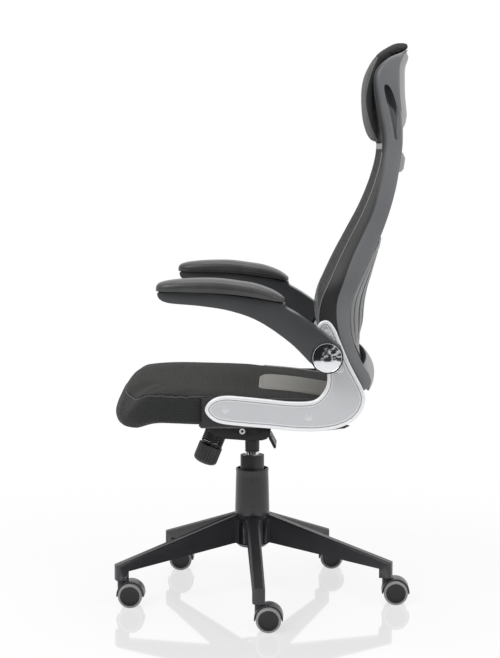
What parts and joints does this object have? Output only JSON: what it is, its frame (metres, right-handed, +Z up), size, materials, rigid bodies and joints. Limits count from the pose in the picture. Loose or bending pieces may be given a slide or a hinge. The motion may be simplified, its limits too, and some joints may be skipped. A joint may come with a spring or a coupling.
{
  "type": "office chair",
  "caption": "High-back swivel office chair with mesh back, slatted lumbar panel, built-in headrest, padded seat, flip-up arms on side brackets, gas lift and star base on castors.",
  "frame": {"origin": "on the floor, under the axis of the gas lift", "axes": "+Z up, -Y to the front of the chair, +X to the sitter's left"},
  "size_m": [0.656, 0.6107, 1.1535],
  "materials": {
    "base_nylon": "satin moulded",
    "cover_plastic": "satin moulded",
    "tube_paint": "black powder coat",
    "bush_plastic": "plain",
    "steel": "zinc plated",
    "chrome": "mirror",
    "castor_nylon": "satin moulded",
    "wheel_nylon": "satin with a grey tread ring",
    "collar_plastic": "plain",
    "mechanism_paint": "black powder coat",
    "spring_steel": "black",
    "knob_plastic": "ribbed",
    "lever_plastic": "satin",
    "pan_plastic": "moulded grain",
    "seat_fabric": "ribbed woven top, spacer mesh sides",
    "insert_fabric": "woven",
    "silver_casting": "satin silver",
    "arm_plastic": "satin moulded",
    "pad_foam": "soft skinned foam",
    "frame_plastic": "satin moulded",
    "mesh_fabric": "open woven mesh",
    "lumbar_plastic": "satin moulded",
    "head_fabric": "spacer mesh"
  },
  "bodies": {
    "base": {"star_base": "base_nylon", "column_cover": "cover_plastic", "stand_tube": "tube_paint", "guide_bush": "bush_plastic", "thrust_bearing": "steel"},
    "lift_rod": {"piston_rod": "steel", "retaining_clip": "steel"},
    "column": {"pressure_tube": "chrome", "column_collar": "collar_plastic", "mechanism_housing": "mechanism_paint", "pivot_bolt": "steel", "tension_spring": "spring_steel"},
    "release_pin": {"release_pin": "steel"},
    "tilt_lock": {"lever_bush": "bush_plastic"},
    "height_lever": {"lever_rod": "mechanism_paint", "lever_paddle": "lever_plastic"},
    "seat": {"tilt_plate": "mechanism_paint", "tension_bolt": "steel", "seat_pan": "pan_plastic", "seat_screws": "steel", "seat_cushion": "seat_fabric", "seat_insert_left": "insert_fabric", "seat_insert_right": "insert_fabric", "bracket_left": "silver_casting", "bracket_right": "silver_casting", "bracket_bolts": "silver_casting", "arm_bolt_left": "steel", "arm_bolt_right": "steel", "back_frame": "frame_plastic", "back_mesh": "mesh_fabric", "lumbar_panel": "lumbar_plastic", "headrest_pad": "head_fabric"},
    "tension_knob": {"tension_knob": "knob_plastic"},
    "arm_left": {"arm_left": "arm_plastic", "arm_pad_left": "pad_foam", "hub_cap_left": "chrome"},
    "arm_right": {"arm_right": "arm_plastic", "arm_pad_right": "pad_foam", "hub_cap_right": "chrome"},
    "castor_1": {"castor_1_hood": "castor_nylon", "castor_1_pins": "steel"},
    "castor_1_wheel_left": {"castor_1_wheel_left": "wheel_nylon"},
    "castor_1_wheel_right": {"castor_1_wheel_right": "wheel_nylon"},
    "castor_2": {"castor_2_hood": "castor_nylon", "castor_2_pins": "steel"},
    "castor_2_wheel_left": {"castor_2_wheel_left": "wheel_nylon"},
    "castor_2_wheel_right": {"castor_2_wheel_right": "wheel_nylon"},
    "castor_3": {"castor_3_hood": "castor_nylon", "castor_3_pins": "steel"},
    "castor_3_wheel_left": {"castor_3_wheel_left": "wheel_nylon"},
    "castor_3_wheel_right": {"castor_3_wheel_right": "wheel_nylon"},
    "castor_4": {"castor_4_hood": "castor_nylon", "castor_4_pins": "steel"},
    "castor_4_wheel_left": {"castor_4_wheel_left": "wheel_nylon"},
    "castor_4_wheel_right": {"castor_4_wheel_right": "wheel_nylon"},
    "castor_5": {"castor_5_hood": "castor_nylon", "castor_5_pins": "steel"},
    "castor_5_wheel_left": {"castor_5_wheel_left": "wheel_nylon"},
    "castor_5_wheel_right": {"castor_5_wheel_right": "wheel_nylon"}
  },
  "joints": [
    {"name": "seat_swivel", "type": "hinge", "parent": "base", "child": "lift_rod", "pos_m": [0, 0, 0.1], "axis": [0, 0, 1], "continuous": true},
    {"name": "seat_lift", "type": "slide", "parent": "lift_rod", "child": "column", "axis": [0, 0, 1], "range_m": [0, 0.1]},
    {"name": "seat_tilt", "type": "hinge", "parent": "column", "child": "seat", "pos_m": [0, -0.019, 0.3569], "axis": [-1, 0, 0], "range_deg": [0, 15], "stiffness_Nm_per_rad": 90, "springref_deg": -34.38, "deforming": ["tension_spring"]},
    {"name": "knob_turn", "type": "hinge", "parent": "seat", "child": "tension_knob", "pos_m": [0, -0.087, 0.3194], "axis": [0, 0.3746, 0.9272], "continuous": true},
    {"name": "tilt_lock_slide", "type": "slide", "parent": "column", "child": "tilt_lock", "axis": [-1, 0, 0], "range_m": [0, 0.012]},
    {"name": "lever_lift", "type": "hinge", "parent": "tilt_lock", "child": "height_lever", "pos_m": [-0.0405, 0, 0.3569], "axis": [0, 1, 0], "range_deg": [0, 5], "stiffness_Nm_per_rad": 4, "springref_deg": -20.05},
    {"name": "pin_press", "type": "slide", "parent": "column", "child": "release_pin", "axis": [0, 0, -1], "range_m": [0, 0.0036]},
    {"name": "arm_flip_left", "type": "hinge", "parent": "seat", "child": "arm_left", "pos_m": [0.27, 0.15414, 0.54131], "axis": [-1, 0, 0], "range_deg": [0, 90]},
    {"name": "arm_flip_right", "type": "hinge", "parent": "seat", "child": "arm_right", "pos_m": [-0.27, 0.15414, 0.54131], "axis": [-1, 0, 0], "range_deg": [0, 90]},
    {"name": "castor_swivel_1", "type": "hinge", "parent": "base", "child": "castor_1", "pos_m": [0.28815, 0.02217, 0.06], "axis": [0, 0, 1], "continuous": true},
    {"name": "wheel_turn_1_left", "type": "hinge", "parent": "castor_1", "child": "castor_1_wheel_left", "pos_m": [0.30515, 0.04177, 0.025], "axis": [1, 0, 0], "continuous": true},
    {"name": "wheel_turn_1_right", "type": "hinge", "parent": "castor_1", "child": "castor_1_wheel_right", "pos_m": [0.27115, 0.04177, 0.025], "axis": [1, 0, 0], "continuous": true},
    {"name": "castor_swivel_2", "type": "hinge", "parent": "base", "child": "castor_2", "pos_m": [0.06796, 0.2809, 0.06], "axis": [0, 0, 1], "continuous": true},
    {"name": "wheel_turn_2_left", "type": "hinge", "parent": "castor_2", "child": "castor_2_wheel_left", "pos_m": [0.08496, 0.3005, 0.025], "axis": [1, 0, 0], "continuous": true},
    {"name": "wheel_turn_2_right", "type": "hinge", "parent": "castor_2", "child": "castor_2_wheel_right", "pos_m": [0.05096, 0.3005, 0.025], "axis": [1, 0, 0], "continuous": true},
    {"name": "castor_swivel_3", "type": "hinge", "parent": "base", "child": "castor_3", "pos_m": [-0.24615, 0.15143, 0.06], "axis": [0, 0, 1], "continuous": true},
    {"name": "wheel_turn_3_left", "type": "hinge", "parent": "castor_3", "child": "castor_3_wheel_left", "pos_m": [-0.22915, 0.17103, 0.025], "axis": [1, 0, 0], "continuous": true},
    {"name": "wheel_turn_3_right", "type": "hinge", "parent": "castor_3", "child": "castor_3_wheel_right", "pos_m": [-0.26315, 0.17103, 0.025], "axis": [1, 0, 0], "continuous": true},
    {"name": "castor_swivel_4", "type": "hinge", "parent": "base", "child": "castor_4", "pos_m": [-0.22009, -0.18731, 0.06], "axis": [0, 0, 1], "continuous": true},
    {"name": "wheel_turn_4_left", "type": "hinge", "parent": "castor_4", "child": "castor_4_wheel_left", "pos_m": [-0.20309, -0.16771, 0.025], "axis": [1, 0, 0], "continuous": true},
    {"name": "wheel_turn_4_right", "type": "hinge", "parent": "castor_4", "child": "castor_4_wheel_right", "pos_m": [-0.23709, -0.16771, 0.025], "axis": [1, 0, 0], "continuous": true},
    {"name": "castor_swivel_5", "type": "hinge", "parent": "base", "child": "castor_5", "pos_m": [0.11013, -0.26719, 0.06], "axis": [0, 0, 1], "continuous": true},
    {"name": "wheel_turn_5_left", "type": "hinge", "parent": "castor_5", "child": "castor_5_wheel_left", "pos_m": [0.12713, -0.24759, 0.025], "axis": [1, 0, 0], "continuous": true},
    {"name": "wheel_turn_5_right", "type": "hinge", "parent": "castor_5", "child": "castor_5_wheel_right", "pos_m": [0.09313, -0.24759, 0.025], "axis": [1, 0, 0], "continuous": true}
  ],
  "couplings": [
    {"joint": "pin_press", "follows": "lever_lift", "m_per_rad": 0.0404}
  ]
}
